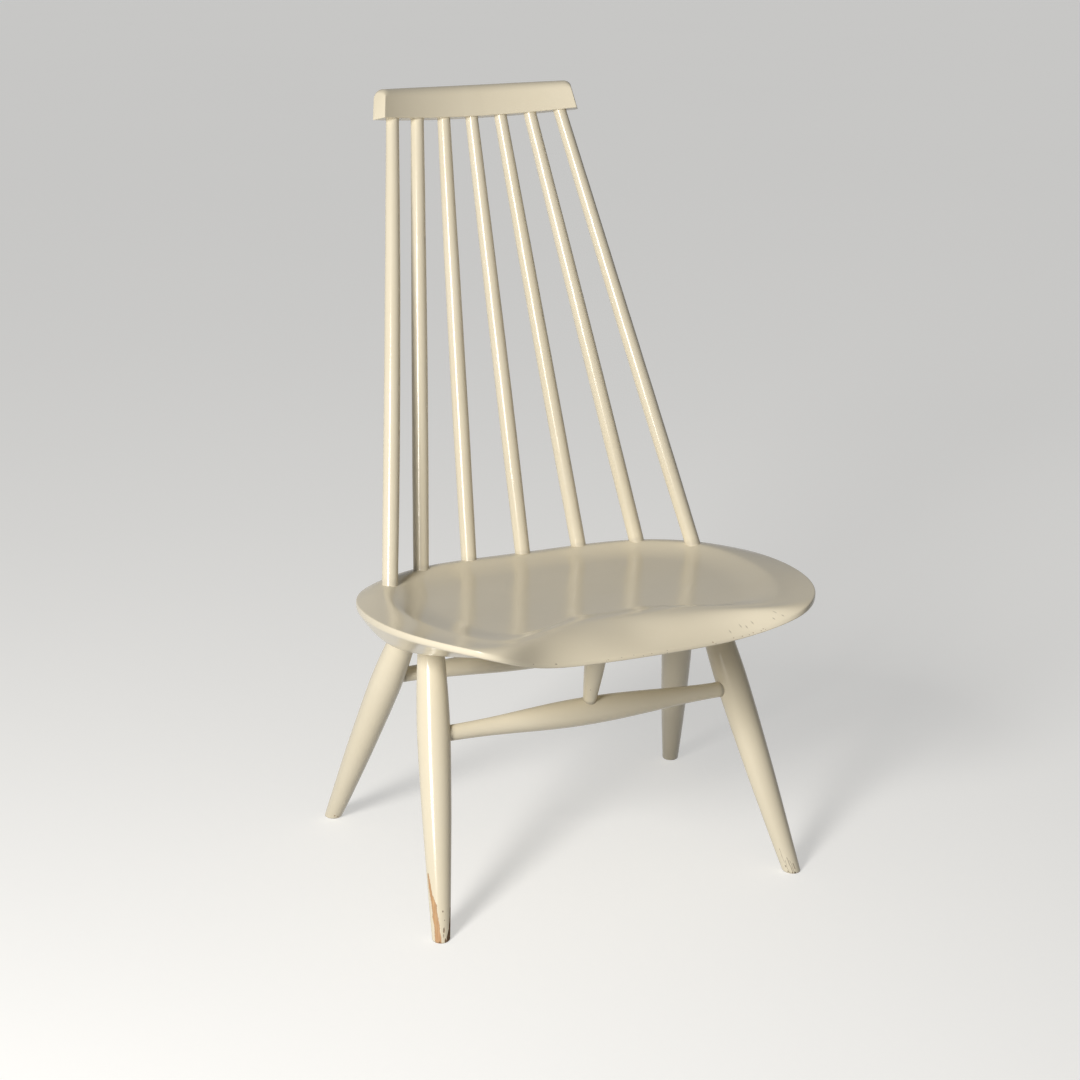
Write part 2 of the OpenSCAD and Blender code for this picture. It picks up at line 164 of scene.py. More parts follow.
# %% Helpers for materials
class Recipe:
    def __init__(self, name):
        self.material = bpy.data.materials.new(name)
        self.material.use_nodes = True
        self.tree = self.material.node_tree
        self.shader = self.tree.nodes["Principled BSDF"]

    def put(self, socket, value):
        if isinstance(value, bpy.types.NodeSocket):
            self.tree.links.new(value, socket)
        else:
            socket.default_value = value

    def own(self, name):
        node = self.tree.nodes.new("ShaderNodeAttribute")
        node.attribute_name = name
        return node

    def noise(self, vector, scale, detail=3.0, rough=0.5):
        node = self.tree.nodes.new("ShaderNodeTexNoise")
        self.put(node.inputs["Vector"], vector)
        self.put(node.inputs["Scale"], scale)
        self.put(node.inputs["Detail"], detail)
        self.put(node.inputs["Roughness"], rough)
        return node.outputs["Fac"]

    def stretch(self, vector, scale):
        node = self.tree.nodes.new("ShaderNodeVectorMath")
        node.operation = "MULTIPLY"
        self.put(node.inputs[0], vector)
        self.put(node.inputs[1], scale)
        return node.outputs[0]

    def maths(self, operation, a, b=0.0, c=0.0):
        node = self.tree.nodes.new("ShaderNodeMath")
        node.operation = operation
        for socket, value in zip(node.inputs, (a, b, c)):
            self.put(socket, value)
        return node.outputs[0]

    def span(self, value, low, high, to_low=0.0, to_high=1.0):
        node = self.tree.nodes.new("ShaderNodeMapRange")
        for name, v in zip(("Value", "From Min", "From Max", "To Min", "To Max"),
                           (value, low, high, to_low, to_high)):
            self.put(node.inputs[name], v)
        return node.outputs["Result"]

    def mix(self, share, a, b):
        node = self.tree.nodes.new("ShaderNodeMix")
        node.data_type = "RGBA"
        self.put(node.inputs[0], share)
        self.put(node.inputs[6], a)
        self.put(node.inputs[7], b)
        return node.outputs[2]

    def bump(self, height, distance, below=None, strength=1.0):
        node = self.tree.nodes.new("ShaderNodeBump")
        self.put(node.inputs["Strength"], strength)
        self.put(node.inputs["Distance"], distance)
        self.put(node.inputs["Height"], height)
        if below is not None:
            self.put(node.inputs["Normal"], below)
        return node.outputs["Normal"]

# %% [markdown]
# ## The paint and the wood under it
# The real finish is a brushed semi-gloss paint, a little yellowed, over pale wood. Every mesh below
# carries three values on its points: `own` is the place in the piece's own coordinates with z along
# the grain, `peel` tells in millimetres how far inside a bare patch a point lies, and the third tells
# how much the colour is darkened. That darkening is dirt in chips, nicks and at the feet, a dark line
# with painted contact shade at the joints, painted shade on the shaded side of the front left foot,
# and a faint line along the seat's lower front edge. One shader mixes paint, primer and wood from
# them, so that the ragged borders can be finer than the mesh.

# %% Cream paint over wood
def rgb(r, g, b):
    return (r, g, b, 1)

paint = Recipe("cream_paint")
place = paint.own("own").outputs["Vector"]
peel = paint.own("peel").outputs["Fac"]
dirt_and_shade = paint.own("dirt_and_shade").outputs["Fac"]
cloud = paint.noise(place, 7, 4)
mottle = paint.noise(place, 60, 3)
fresh = paint.mix(paint.span(cloud, 0.35, 0.68), rgb(0.81, 0.735, 0.57), rgb(0.83, 0.76, 0.605))
fresh = paint.mix(paint.span(mottle, 0.55, 0.8, 0, 0.05), fresh, rgb(0.70, 0.60, 0.42))
speck = paint.noise(place, 420, 2)
fresh = paint.mix(paint.span(speck, 0.72, 0.80, 0, 0.12), fresh, rgb(0.45, 0.35, 0.22))
grain = paint.noise(paint.stretch(place, (1, 1, 0.06)), 900, 5, 0.6)
figure = paint.noise(paint.stretch(place, (1, 1, 0.12)), 140, 3)
wood = paint.mix(paint.span(grain, 0.3, 0.7), rgb(0.38, 0.21, 0.095), rgb(0.66, 0.42, 0.215))
wood = paint.mix(paint.span(figure, 0.35, 0.75, 0, 0.5), wood, rgb(0.62, 0.33, 0.17))
nibble = paint.maths("MULTIPLY_ADD", paint.noise(place, 1300, 3), 0.5, -0.25)
inside = paint.maths("ADD", peel, nibble)
bare = paint.span(inside, -0.08, 0.08)
primer_rim = paint.maths("MULTIPLY", paint.span(inside, 0.0, 0.05), paint.span(inside, 0.75, 0.35))
primer_rim = paint.maths("MULTIPLY", primer_rim, paint.span(paint.noise(place, 260, 2), 0.42, 0.58))
wood = paint.mix(paint.maths("MULTIPLY", primer_rim, 0.75), wood, rgb(0.62, 0.58, 0.49))
# This share darkens the paint towards a near-black brown. It carries real dirt in chips, nicks and at the
# feet, and painted shade at the joints and on the shaded side of the front left foot.
dirt_and_shade_share = paint.maths("MULTIPLY", dirt_and_shade, paint.span(paint.noise(place, 500, 3), 0.2, 0.6, 0.6, 1.0))
surface = paint.mix(bare, fresh, wood)
# Near-black brown for dirt and for painted shade.
surface = paint.mix(dirt_and_shade_share, surface, rgb(0.055, 0.036, 0.022))
brush = paint.noise(paint.stretch(place, (1, 1, 0.02)), 420, 3)
shader = paint.shader
paint.put(shader.inputs["Base Color"], surface)
paint_gloss = paint.span(paint.noise(place, 25, 2), 0.3, 0.7, 0.17, 0.21)
gloss = paint.maths("MULTIPLY_ADD", bare, 0.42, paint_gloss)
paint.put(shader.inputs["Roughness"], paint.maths("MULTIPLY_ADD", dirt_and_shade_share, 0.25, gloss))
orange_peel = paint.bump(brush, 0.00004)
paint.put(shader.inputs["Normal"], paint.bump(paint.maths("MULTIPLY", grain, bare), 0.00025, orange_peel))
shader.inputs["Specular IOR Level"].default_value = 0.55
print("paint has", len(paint.tree.nodes), "nodes")

# %% [markdown]
# ## The floor
# A plain pale floor takes the chair's shadow. It glows a little to the eye, in gloss and through
# glass, so it looks paler than the light it throws back. It belongs to the studio, not to the chair,
# so it is marked as staging.

# %% Floor
FLOOR_ROUGHNESS, FLOOR_GLOW, FLOOR_SIZE = 0.85, 0.48, 40
floor_finish = Recipe("floor")
floor_place = floor_finish.tree.nodes.new("ShaderNodeTexCoord").outputs["Object"]
floor_tone = floor_finish.noise(floor_place, 0.7, 2)
floor_share = floor_finish.span(floor_tone, 0.3, 0.7)
floor_colour = floor_finish.mix(floor_share, rgb(0.56, 0.56, 0.555), rgb(0.59, 0.59, 0.585))
floor_finish.put(floor_finish.shader.inputs["Base Color"], floor_colour)
floor_finish.shader.inputs["Roughness"].default_value = FLOOR_ROUGHNESS
seen = floor_finish.tree.nodes.new("ShaderNodeLightPath")
direct = floor_finish.maths("MAXIMUM", seen.outputs["Is Camera Ray"], seen.outputs["Is Glossy Ray"])
direct = floor_finish.maths("MAXIMUM", direct, seen.outputs["Is Transmission Ray"])
floor_finish.shader.inputs["Emission Color"].default_value = rgb(1, 1, 0.99)
glow = floor_finish.maths("MULTIPLY", direct, FLOOR_GLOW)
floor_finish.put(floor_finish.shader.inputs["Emission Strength"], glow)
bpy.ops.mesh.primitive_plane_add(size=FLOOR_SIZE, location=(0, 0, 0))
floor = bpy.context.object
floor.name = "floor"
floor.data.materials.append(floor_finish.material)
floor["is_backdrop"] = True
print("floor", floor.dimensions[0], "m")

# %% [markdown]
# ## From rings to a mesh
# Turned pieces, the rail and the seat all have the same build: rings of points, joined to their
# neighbours by four-sided faces, and closed at both ends by a point. One helper makes them all. It
# takes an array of rings, and an array for each value that the shader reads. `SOUND_PAINT` is the
# `peel` of a place far from any bare patch, in millimetres.

# %% Loft rings
SOUND_PAINT = -5.0

def loft(name, node, rings, own, peel=None, dirt_and_shade=None, caps=None):
    rings = np.asarray(rings, float)
    count, around = rings.shape[:2]
    first = rings[0].mean(0) if caps is None else caps[0]
    last = rings[-1].mean(0) if caps is None else caps[1]
    points = np.vstack([rings.reshape(-1, 3), first, last])
    i, j = np.meshgrid(np.arange(count - 1), np.arange(around), indexing="ij")
    k = (j + 1) % around
    quads = np.stack([i * around + j, i * around + k, (i + 1) * around + k, (i + 1) * around + j], -1)
    edge = np.arange(around)
    step = (edge + 1) % around
    low, high = count * around, count * around + 1
    start = np.stack([np.full(around, low), step, edge], -1)
    rim = (count - 1) * around
    end = np.stack([np.full(around, high), rim + edge, rim + step], -1)
    mesh = bpy.data.meshes.new(name)
    mesh.from_pydata(points, [], quads.reshape(-1, 4).tolist() + start.tolist() + end.tolist())

    def store(key, kind, field, values, width):
        body = np.asarray(values, float).reshape(-1, width)
        full = np.vstack([body, body[:around].mean(0), body[-around:].mean(0)])
        mesh.attributes.new(key, kind, "POINT").data.foreach_set(field, full.ravel().astype(np.float32))

    zero = np.zeros((count, around))
    store("own", "FLOAT_VECTOR", "vector", own, 3)
    store("peel", "FLOAT", "value", zero + SOUND_PAINT if peel is None else peel, 1)
    store("dirt_and_shade", "FLOAT", "value", zero if dirt_and_shade is None else dirt_and_shade, 1)
    mesh.polygons.foreach_set("use_smooth", np.ones(len(mesh.polygons), bool))
    mesh.materials.append(paint.material)
    mesh.validate()
    mesh.update()
    piece = bpy.data.objects.new(name, mesh)
    bpy.context.scene.collection.objects.link(piece)
    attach(piece, "root")
    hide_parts(node)
    return piece

# %% [markdown]
# ## Finding a piece's axis
# A turned piece is round about a line. The CAD mesh of each one ends in two flat discs, and the
# middle of a disc's box is the disc's centre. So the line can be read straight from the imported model.

# %% Axis of a turned CAD piece
def cad_points(node):
    mesh = frame["nodes"][node].data
    flat = np.empty(len(mesh.vertices) * 3)
    mesh.vertices.foreach_get("co", flat)
    return flat.reshape(-1, 3)

DISC_DEPTH = 0.6

def axis_of(node):
    points = cad_points(node)
    centre = points.mean(0)
    main = np.linalg.svd((points - centre)[::7], full_matrices=False)[2][0]
    level = abs(main[2]) < 0.1
    main = main if main[2] > 0 or (level and main[0] > 0) else -main
    reach = (points - centre) @ main
    low_disc = points[reach < reach.min() + DISC_DEPTH * MM]
    high_disc = points[reach > reach.max() - DISC_DEPTH * MM]
    ends = [(disc.min(0) + disc.max(0)) / 2 for disc in (low_disc, high_disc)]
    return ends[0], ends[1]

for node in ("front_left_leg", "spindle_4", "front_stretcher"):
    print(node, [np.round(end, 4).tolist() for end in axis_of(node)])

# %% [markdown]
# ## Small random shapes
# Hand sanding and brushed paint leave a turned piece a hair uneven, and chipped paint has ragged
# borders. Both come from one smooth random line, `wander`, which always gives the same values.

# %% Wandering lines
def wander(x, seed, step, octaves=3):
    x = np.asarray(x, float)
    total, size = np.zeros_like(x), 1.0
    for octave in range(octaves):
        knots = np.random.default_rng(seed * 31 + octave).uniform(-1, 1, 512)
        where = x / step * 2 ** octave + 37.3 * octave + 200
        cell = np.floor(where).astype(int)
        share = where - cell
        share = share * share * (3 - 2 * share)
        total = total + size * (knots[cell % 512] * (1 - share) + knots[(cell + 1) % 512] * share)
        size *= 0.5
    return total

def ease(u):
    u = np.clip(u, 0, 1)
    return u * u * (3 - 2 * u)

print("wander", np.round(wander([0, 1, 2], 1, 1.0), 3))

# %% [markdown]
# ## Turning on the lathe
# `turn` makes a round piece about a line. `radius(s)` is its profile in millimetres, `s` the distance
# along the line, and `wear(s, angle, r)` may return how much the surface is dented, how far inside a
# bare patch each point lies, and how much it is darkened, by dirt and, at joints and on shaded sides,
# by painted shade. `bow(s)` moves the line sideways.

# %% Turned pieces
def own_axes(low, high):
    along = (high - low) / np.linalg.norm(high - low)
    side = np.cross((0, 1, 0), along)
    side /= np.linalg.norm(side)
    return along, side, np.cross(along, side)

WAVER, OUT_OF_ROUND = 0.06, 0.04
FOOT_REACH = 40
PATTERN_STEP = 0.13

def turn(name, low, high, stations, radius, around=96, wear=None, seed=1, bow=None, flat_foot=False):
    along, side, back = own_axes(low, high)
    s = np.asarray(stations, float)[:, None]
    angle = np.linspace(0, 2 * math.pi, around, endpoint=False)[None, :]
    r = radius(s) * np.ones_like(angle)
    unit = np.cos(angle)[..., None] * side + np.sin(angle)[..., None] * back
    oval = np.cos(2 * angle + wander(s, seed + 5, 90) * 3)
    r = r + WAVER * wander(s, seed, 45) + OUT_OF_ROUND * oval
    peel = np.full(r.shape, SOUND_PAINT)
    dirt_and_shade = np.zeros(r.shape)
    if wear is not None:
        dent, peel, dirt_and_shade = wear(s, angle, r)
        r = r - dent
    place = s * np.ones_like(angle)
    if flat_foot:
        place = place - r * unit[..., 2] / along[2] * (1 - ease(place / FOOT_REACH))
    shift = 0 if bow is None else bow(s)[..., None] * side
    points = low + along * (place[..., None] * MM) + unit * (r[..., None] * MM) + shift * MM
    own = np.stack([r * np.cos(angle) * MM, r * np.sin(angle) * MM, place * MM], -1)
    return loft(name, name, points, own + PATTERN_STEP * seed, peel, dirt_and_shade)

# %% [markdown]
# ## How paint leaves a foot
# The feet take knocks and damp, so paint lets go there first. A bare patch is the space between two
# wandering borders that run up the leg. A nick is a small oval, and a crack a thin line. Each is
# measured in millimetres over the leg's skin, and the deepest one wins.

# %% Shapes of damage
def patch(s, degrees, r, heights, left, right, seed, rag=0.9):
    lean = rag * (wander(s, seed, 9, 4) + 0.4 * wander(s, seed + 9, 1.6, 2))
    lean_b = rag * (wander(s, seed + 1, 9, 4) + 0.4 * wander(s, seed + 8, 1.6, 2))
    skin = r * math.pi / 180
    from_left = (degrees - np.interp(s, heights, left)) * skin + lean
    from_right = (np.interp(s, heights, right) - degrees) * skin + lean_b
    ends = np.minimum(s - heights[0], heights[-1] - s)
    return np.minimum(np.minimum(from_left, from_right), ends)

def nick(s, degrees, r, at, long, wide, seed=0):
    away = (degrees - at[1] + 180) % 360 - 180
    along, across = (s - at[0]) / long, away * r * math.pi / 180 / wide
    rough = 0.18 * wander(np.degrees(np.arctan2(along, across)), seed + 3, 50)
    return (1 + rough - np.hypot(along, across)) * min(long, wide)

def crack(s, degrees, r, path, wide, seed=0):
    heights = [p[0] for p in path]
    angles = [p[1] for p in path]
    middle = np.interp(s, heights, angles) + wander(s, seed, 4) * 1.6
    off = np.abs((degrees - middle + 180) % 360 - 180) * r * math.pi / 180
    ends = np.minimum(s - heights[0], heights[-1] - s)
    return np.minimum(wide - off, ends * 0.3)

def hollowed(peel, depth=0.28, lip=0.07):
    inside = ease((peel + 0.1) / 0.45)
    rim = np.exp(-((peel + 0.35) / 0.35) ** 2)
    return depth * inside - lip * rim

# %% [markdown]
# ## Legs
# Each leg swells from a slim foot to its widest place below the seat, then narrows into its socket.
# The stations lie closer together at the foot, where the damage is, and the edge of the foot is
# softly rounded. The front left foot has lost a long flake of paint on its outer side.

# %% Leg profile
FOOT_D, LEG_MAX_D, LEG_HEAD_D, SWELL_AT, LEG_SOCKET = 21.0, 39.5, 31.0, 245.0, 26.0
HEAD_LEAD = 9
SOLE_EDGE, SOLE_ROUND = 1.8, 1.6
WORN_REACH = 84

def leg_radius(length):
    neck = length - HEAD_LEAD

    def radius(s):
        low = LEG_MAX_D - (LEG_MAX_D - FOOT_D) * np.clip(1 - s / SWELL_AT, 0, 1) ** 1.5
        rise = np.clip((s - SWELL_AT) / (neck - SWELL_AT), 0, 1)
        high = LEG_MAX_D - (LEG_MAX_D - LEG_HEAD_D) * rise ** 1.7
        r = np.where(s < SWELL_AT, low, high) / 2
        edge = np.clip(1 - s / SOLE_EDGE, 0, 1)
        return r - SOLE_ROUND * (1 - np.sqrt(np.clip(1 - edge ** 2, 0, 1)))

    return radius

def leg_stations(length, fine):
    foot = [0, 0.15, 0.4, 0.75, 1.2, SOLE_EDGE]
    worn = list(np.arange(SOLE_EDGE + fine, WORN_REACH, fine))
    plain = list(np.linspace(WORN_REACH + 2, length + 12, 90))
    return foot + worn + plain

# %% Wear on each foot
def degrees_of(angle):
    return (np.degrees(angle) + 180) % 360 - 180

def front_left_wear(s, angle, r):
    a = degrees_of(angle)
    turned = np.where(a > 120, a - 360, a)
    flake = patch(s, turned, r, [-6, 6, 17, 24, 31, 38, 44, 52, 60, 66, 76],
                  [-148, -152, -154, -158, -159, -161, -163, -170, -174, -175, -178],
                  [-109, -109, -118, -124, -127, -125, -139, -151, -155, -161, -165], 3, 0.55)
    dark_side = patch(s, turned, r, [-6, 6.5, 14, 22, 36], [-76, -76, -58, -52, -44],
                      [-40, -36, -30, -33, -38], 7, 0.5)
    spots = [nick(s, a, r, (32.3, -96), 0.9, 0.7, 1), nick(s, a, r, (23.7, -88), 0.6, 0.5, 2),
             nick(s, a, r, (14, -92.5), 3.2, 0.9, 3), nick(s, a, r, (2.4, -83), 3.4, 1.2, 4),
             nick(s, a, r, (9, -96), 2.0, 0.4, 5), nick(s, a, r, (1, -122), 2.2, 1.2, 6),
             nick(s, a, r, (3, -15), 4.5, 1.6, 7), nick(s, a, r, (5, 60), 5, 2.4, 8)]
    holes = np.maximum.reduce(spots)
    peel = np.maximum.reduce([flake, dark_side, holes])
    # Over the dark side patch the darkening is painted shade on bare wood turned from the light. Along the
    # flake's border it is dirt with a painted slight shadow of the paint's edge. At the sole it is dirt.
    dirt_and_shade = 0.75 * ease((holes + 0.2) / 0.5) + 0.8 * ease((dark_side + 0.3) / 0.8)
    dirt_and_shade = np.maximum(dirt_and_shade, 0.30 * np.exp(-((flake - 0.05) / 0.12) ** 2) + 0.25 * ease(1 - s / 3))
    return hollowed(peel), peel, np.clip(dirt_and_shade, 0, 1)

def front_right_wear(s, angle, r):
    a = degrees_of(angle)
    lines = [crack(s, a, r, [(3, -107), (11, -111), (20, -117)], 0.28, 1),
             crack(s, a, r, [(6, -84), (9, -87), (13, -90)], 0.42, 2),
             crack(s, a, r, [(1, -128), (8, -133), (17, -131)], 0.2, 3),
             crack(s, a, r, [(2, -97), (9, -101), (16, -103)], 0.22, 4),
             crack(s, a, r, [(14, -138), (24, -142), (31, -143)], 0.18, 5)]
    spots = [nick(s, a, r, (1.4, -92), 1.5, 1.0, 1), nick(s, a, r, (9.4, -141), 1.6, 0.5, 2),
             nick(s, a, r, (3, -136), 1.1, 0.6, 3), nick(s, a, r, (2.1, -109), 1.3, 0.6, 4),
             nick(s, a, r, (0.3, -80), 1.0, 1.2, 5), nick(s, a, r, (4, 30), 4.0, 1.6, 6),
             nick(s, a, r, (2, 140), 3.4, 2.0, 7)]
    holes = np.maximum.reduce(spots + lines)
    dirt_and_shade = 0.85 * ease((holes + 0.15) / 0.4) + 0.18 * ease(1 - s / 4)
    return hollowed(holes, 0.22, 0.10), holes - 0.1, np.clip(dirt_and_shade, 0, 1)

def back_wear(seed):

    def wear(s, angle, r):
        a = degrees_of(angle)
        chance = np.random.default_rng(seed)
        spots = [nick(s, a, r, (chance.uniform(0, 7), chance.uniform(-180, 180)),
                      chance.uniform(0.8, 2.4), chance.uniform(0.5, 1.4), seed + n) for n in range(7)]
        holes = np.maximum.reduce(spots)
        dirt_and_shade = 0.5 * ease(holes / 0.5) + 0.2 * ease(1 - s / 4)
        return hollowed(holes), holes, np.clip(dirt_and_shade, 0, 1)

    return wear

# %% Four legs
def foot_centre(node):
    points = cad_points(node)
    sole = points[points[:, 2] < 0.05 * MM]
    return np.array([*((sole.min(0) + sole.max(0)) / 2)[:2], 0.0])

leg_wear = {"front_left_leg": front_left_wear, "front_right_leg": front_right_wear,
            "back_left_leg": back_wear(11), "back_right_leg": back_wear(12)}
for number, (name, wear) in enumerate(leg_wear.items()):
    low, high = foot_centre(name), axis_of(name)[1]
    length = np.linalg.norm(high - low) / MM - LEG_SOCKET
    fine, around = (0.5, 192) if "front" in name else (1.0, 128)
    turn(name, low, high, leg_stations(length, fine), leg_radius(length), around, wear, number + 2,
         flat_foot=True)
    print(name, "is", round(length), "mm long below the seat")

# %% [markdown]
# ## Stretchers and strut
# The two stretchers are slim at their ends, where they enter the legs, and full in the middle. The
# short strut ties the front one to the seat. Their ends run on into the wood that holds them, so no
# gap shows, as paint fills the joint on the real chair. A narrow dark band at each joint is a dark
# joint line with painted contact shade.

# %% Stretchers
STRETCHER_MID_D, STRETCHER_END_D = 33.8, 19.0
# Painted contact shade: a narrow dark band where a piece enters the wood that holds it, together with a
# dark joint line.
JOINT_LINE_AND_SHADE = 0.6
for number, name in enumerate(("front_stretcher", "rear_stretcher")):
    left, right_end = axis_of(name)
    span = np.linalg.norm(right_end - left) / MM
    half = span / 2
    open_half = half + 2 - LEG_MAX_D / 2

    def radius(s, half=half, open_half=open_half):
        share = np.clip(np.abs(s - half) / open_half, 0, 1)
        fullness = np.cos(share * math.pi / 2) ** 2
        return (STRETCHER_END_D + (STRETCHER_MID_D - STRETCHER_END_D) * fullness) / 2

    def wear(s, angle, r, half=half, open_half=open_half):
        from_leg = open_half - np.abs(s - half)
        dirt_and_shade = JOINT_LINE_AND_SHADE * np.exp(-np.abs(from_leg) / 1.5) * np.ones_like(angle)
        return 0 * r, np.full(r.shape, SOUND_PAINT), dirt_and_shade

    turn(name, left, right_end, np.linspace(0, span, 200), radius, 96, wear, number + 8)
    print(name, round(span), "mm")

# %% Strut
STRUT_FOOT_D, STRUT_MAX_D, STRUT_HEAD_D, STRUT_SOCKET, STRUT_STOP = 16.0, 26.0, 23.0, 12.0, 2.5
STRUT_SWELL = 0.72
strut_low, strut_high = axis_of("stretcher_strut")
strut_span = np.linalg.norm(strut_high - strut_low) / MM
neck_at = strut_span - STRUT_SOCKET - HEAD_LEAD
low_at = STRETCHER_MID_D / 2 - STRUT_STOP
swell = low_at + (neck_at + HEAD_LEAD - low_at) * STRUT_SWELL

def strut_radius(s):
    below = np.clip((swell - s) / (swell - low_at), 0, 1)
    above = np.clip((s - swell) / (neck_at - swell), 0, 1)
    low = STRUT_MAX_D - (STRUT_MAX_D - STRUT_FOOT_D) * below ** 1.5
    high = STRUT_MAX_D - (STRUT_MAX_D - STRUT_HEAD_D) * above ** 1.7
    return np.where(s < swell, low, high) / 2

def strut_wear(s, angle, r):
    # The dark band where the strut meets the stretcher is a dark joint line with painted contact shade.
    # The spot is dirt in a nick.
    dirt_and_shade = JOINT_LINE_AND_SHADE * np.exp(-np.abs(s - low_at) / 1.5) * np.ones_like(angle)
    dot = nick(s, degrees_of(angle), r, (low_at + 22, -120), 0.7, 0.6)
    return 0 * r, dot, np.clip(dirt_and_shade + 0.8 * ease(dot / 0.4), 0, 1)

strut_stations = np.linspace(0, strut_span, 110)
turn("stretcher_strut", strut_low, strut_high, strut_stations, strut_radius, 80, strut_wear, 12)
print("strut", round(strut_span), "mm")

# %% [markdown]
# ## Spindles
# The seven spindles are long and thin, a little fuller low down and slimmer at the rail. Long thin
# sticks never stay quite straight, so each one bows a little, and the first by over a millimetre.
# One of them has a small spot where the paint is gone.

# %% Seven spindles
SPINDLE_FOOT_D, SPINDLE_MAX_D, SPINDLE_NECK_D, SPINDLE_SWELL_AT = 19.3, 20.2, 16.2, 150.0
SPINDLE_SOCKET, CREST_SOCKET = 22.0, 22.0
SPOTTED_SPINDLE = 5
BOWS = {1: 1.4, 2: 0.4, 3: -0.3, 4: 0.3, 5: -0.4, 6: 0.3, 7: -0.5}
for number in range(1, 8):
    name = f"spindle_{number}"
    low, high = axis_of(name)
    whole = np.linalg.norm(high - low) / MM
    length = whole - SPINDLE_SOCKET - CREST_SOCKET

    def radius(s, length=length):
        t = s - SPINDLE_SOCKET
        fall = np.clip(1 - t / SPINDLE_SWELL_AT, 0, 1)
        below = SPINDLE_MAX_D - (SPINDLE_MAX_D - SPINDLE_FOOT_D) * fall ** 2
        rise = np.clip((t - SPINDLE_SWELL_AT) / (length - SPINDLE_SWELL_AT), 0, 1)
        above = SPINDLE_MAX_D - (SPINDLE_MAX_D - SPINDLE_NECK_D) * rise ** 1.8
        return np.where(t < SPINDLE_SWELL_AT, below, above) / 2

    def wear(s, angle, r, length=length, number=number):
        t = s - SPINDLE_SOCKET
        # The dark bands at the seat and at the rail are dark joint lines with painted contact shade.
        dirt_and_shade = 0.35 * (np.exp(-np.abs(t) / 1.6) + np.exp(-np.abs(t - length) / 1.2)) * np.ones_like(angle)
        spot = SOUND_PAINT + 0 * r
        if number == SPOTTED_SPINDLE:
            spot = nick(s, degrees_of(angle), r, (SPINDLE_SOCKET + 190, -110), 0.8, 0.7)
        return 0 * r, spot, np.clip(dirt_and_shade + 0.7 * ease(spot / 0.4), 0, 1)

    def bow(s, length=length, number=number):
        return BOWS[number] * np.sin(math.pi * np.clip((s - SPINDLE_SOCKET) / length, 0, 1))

    stations = np.linspace(SPINDLE_SOCKET - 12, whole - CREST_SOCKET + 8, 170)
    turn(name, low, high, stations, radius, 64, wear, number + 20, bow)
print("spindles done")

# %% [markdown]
# ## Crest rail
# The rail is a board bent to an arc, flat below and rounded over its top edge, with ends cut square
# to the curve and leaning in a little. The corners between ends and top are rounded off, so the rail
# closes like a bar of soap.

# %% Crest rail section and sweep
CREST_H, CREST_T, CREST_R, CREST_HALF = 40.9, 21.6, 303.0, math.radians(26.0)
CREST_LEAN, CREST_FLARE, CREST_CROWN = math.radians(14.8), math.tan(math.radians(10.8)), 4.1
BACK_H = 878.2
CREST_ARRIS, CREST_END_CORNER, CREST_END_ROUND = 1.2, 8.5, 1.1
BACK_ROUND_W, BACK_ROUND_H = 6.5, 11
FRONT_ROUND_W, FRONT_ROUND_H = 15.1, 13.5
FLARE_FROM = 0.35
CREST_PATTERN = 0.37
crest_lean_back = np.array([0, math.cos(CREST_LEAN), -math.sin(CREST_LEAN)])
crest_lean_up = np.array([0, math.sin(CREST_LEAN), math.cos(CREST_LEAN)])
crest_back_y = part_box("crest_rail")[1][1] / MM
top_back = (CREST_T / 2 - BACK_ROUND_W) * math.cos(CREST_LEAN)
top_back += (CREST_H - BACK_ROUND_H) * math.sin(CREST_LEAN)
top_back += math.hypot(BACK_ROUND_W * math.cos(CREST_LEAN), BACK_ROUND_H * math.sin(CREST_LEAN))
crest_origin = np.array([0, crest_back_y - top_back, BACK_H])

def crest_section():
    half_t, corner = CREST_T / 2, CREST_ARRIS
    loop = []
    for a in np.radians(np.linspace(0, 90, 5)):
        loop.append((half_t - corner + corner * math.sin(a), corner - corner * math.cos(a)))
    for h in np.linspace(4, CREST_H - 13, 10):
        loop.append((half_t, h))
    for a in np.radians(np.linspace(0, 90, 16)):
        u = half_t - BACK_ROUND_W + BACK_ROUND_W * math.cos(a)
        loop.append((u, CREST_H - BACK_ROUND_H + BACK_ROUND_H * math.sin(a)))
    for a in np.radians(np.linspace(95, 180, 18)):
        u = half_t - BACK_ROUND_W + FRONT_ROUND_W * math.cos(a)
        loop.append((u, CREST_H - FRONT_ROUND_H + FRONT_ROUND_H * math.sin(a)))
    for h in np.linspace(CREST_H - 16, 4, 10):
        loop.append((-half_t, h))
    for a in np.radians(np.linspace(0, 90, 5)):
        loop.append((-half_t + corner - corner * math.cos(a), corner - corner * math.sin(a)))
    for u in np.linspace(-half_t + 3, half_t - 3, 6):
        loop.append((u, 0))
    return np.array(loop)[::-1]

